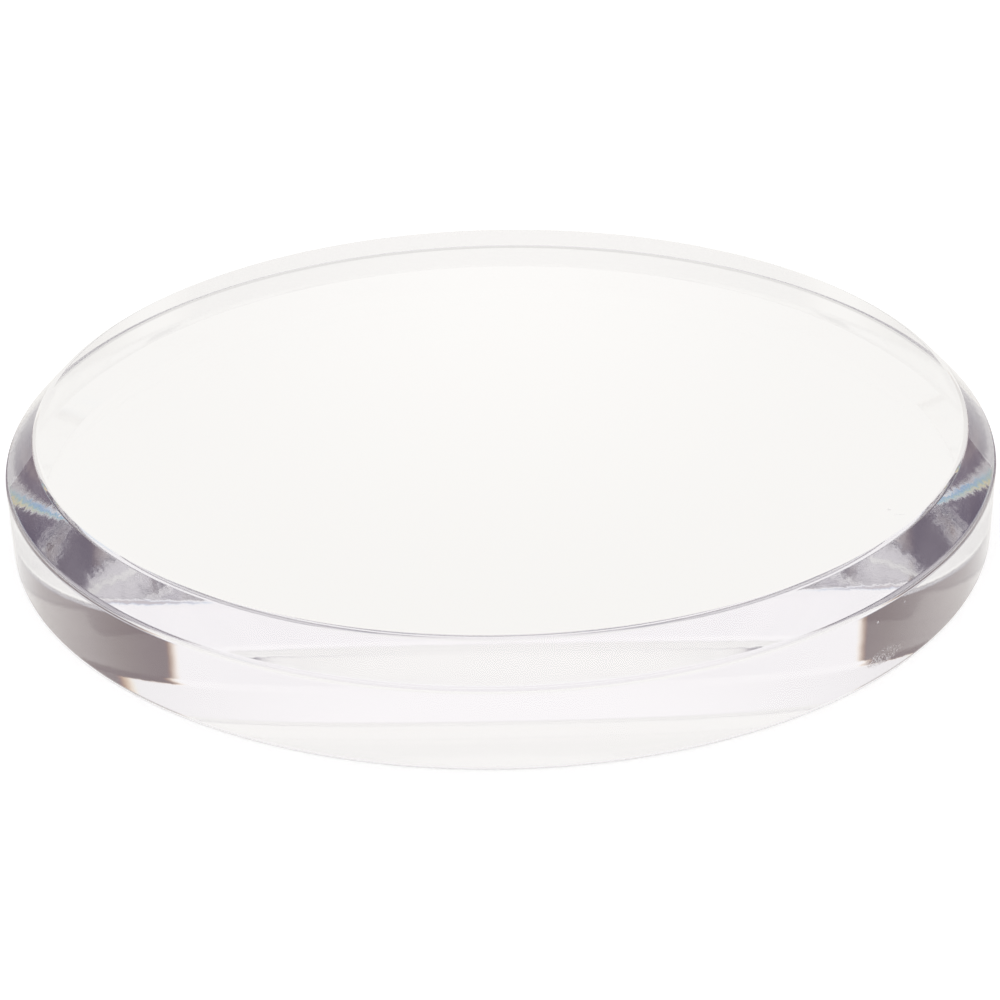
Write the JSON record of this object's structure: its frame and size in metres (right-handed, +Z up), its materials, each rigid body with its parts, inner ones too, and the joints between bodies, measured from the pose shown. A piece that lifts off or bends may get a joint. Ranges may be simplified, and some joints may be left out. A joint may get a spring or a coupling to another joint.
{
  "type": "round display base",
  "caption": "Clear round display base: a thick disc of polished acrylic with a wide 45-degree bevel round its top edge, flat above and below.",
  "frame": {"origin": "centre of the flat underside, which rests on the counter", "axes": "+Z up along the disc's axis; the disc is round, so X and Y are alike"},
  "size_m": [0.22, 0.22, 0.025],
  "materials": {
    "clear_acrylic": "clear, colourless cast acrylic, polished on every face and corner"
  },
  "bodies": {
    "root": {"display_disc": "clear_acrylic"}
  },
  "joints": []
}
